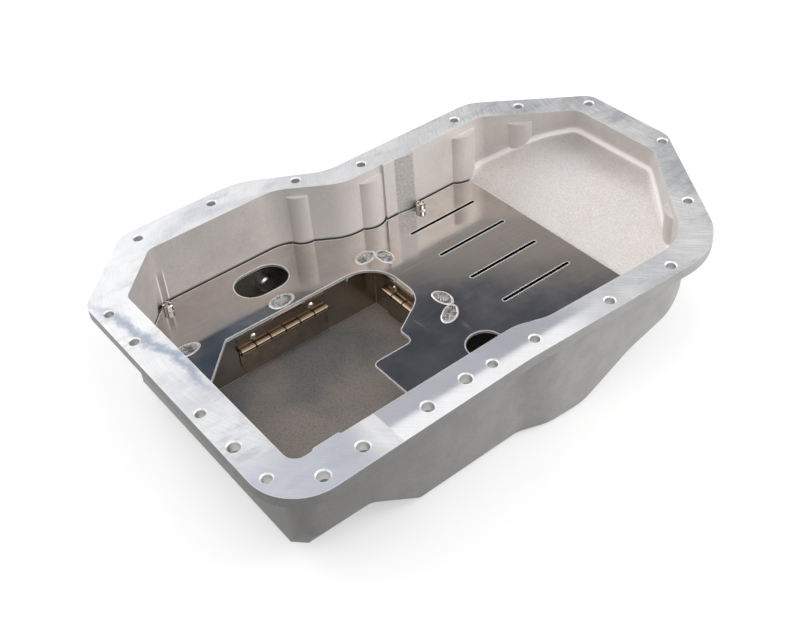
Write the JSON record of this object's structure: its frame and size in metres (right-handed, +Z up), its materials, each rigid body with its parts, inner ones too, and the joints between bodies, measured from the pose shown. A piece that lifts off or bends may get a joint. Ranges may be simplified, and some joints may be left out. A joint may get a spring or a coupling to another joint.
{
  "type": "engine oil pan",
  "caption": "Cast engine oil pan with a machined flange, a bolted baffle plate and a walled pickup well with hinged trap doors.",
  "frame": {"origin": "middle of the footprint, on the surface that the sump's flat bottom rests on", "axes": "+X from the deep sump end to the shallow bowl end, +Y from the near flange edge to the edge with the drain plug, +Z up out of the mouth"},
  "size_m": [0.444, 0.3019, 0.0985],
  "materials": {
    "cast_aluminium": "sand-cast grain with a machined flange face",
    "sheet": "bright rolled sheet",
    "hinge_steel": "polished stainless",
    "bright_steel": "bright",
    "weld": "rough weld metal",
    "soft_aluminium": "satin"
  },
  "bodies": {
    "pan": {"pan_casting": "cast_aluminium", "baffle_plate": "sheet", "box_wall_long": "sheet", "box_wall_short": "sheet", "hinge_leaf_long": "hinge_steel", "hinge_leaf_short": "hinge_steel", "hinge_pin_long": "hinge_steel", "hinge_pin_short": "hinge_steel", "hinge_rivets_long": "bright_steel", "hinge_rivets_short": "bright_steel", "baffle_bolts": "bright_steel", "baffle_washers": "bright_steel", "plug_welds": "weld", "drain_plug": "bright_steel", "drain_washer": "soft_aluminium"},
    "door_long": {"trap_door_long": "hinge_steel"},
    "door_short": {"trap_door_short": "hinge_steel"}
  },
  "joints": [
    {"name": "door_long_hinge", "type": "hinge", "parent": "pan", "child": "door_long", "pos_m": [-0.0961, 0.05147, 0.0305], "axis": [-1, 0, 0], "range_deg": [0, 170]},
    {"name": "door_short_hinge", "type": "hinge", "parent": "pan", "child": "door_short", "pos_m": [-0.0128, 0.01327, 0.0305], "axis": [0, 1, 0], "range_deg": [0, 130]}
  ]
}
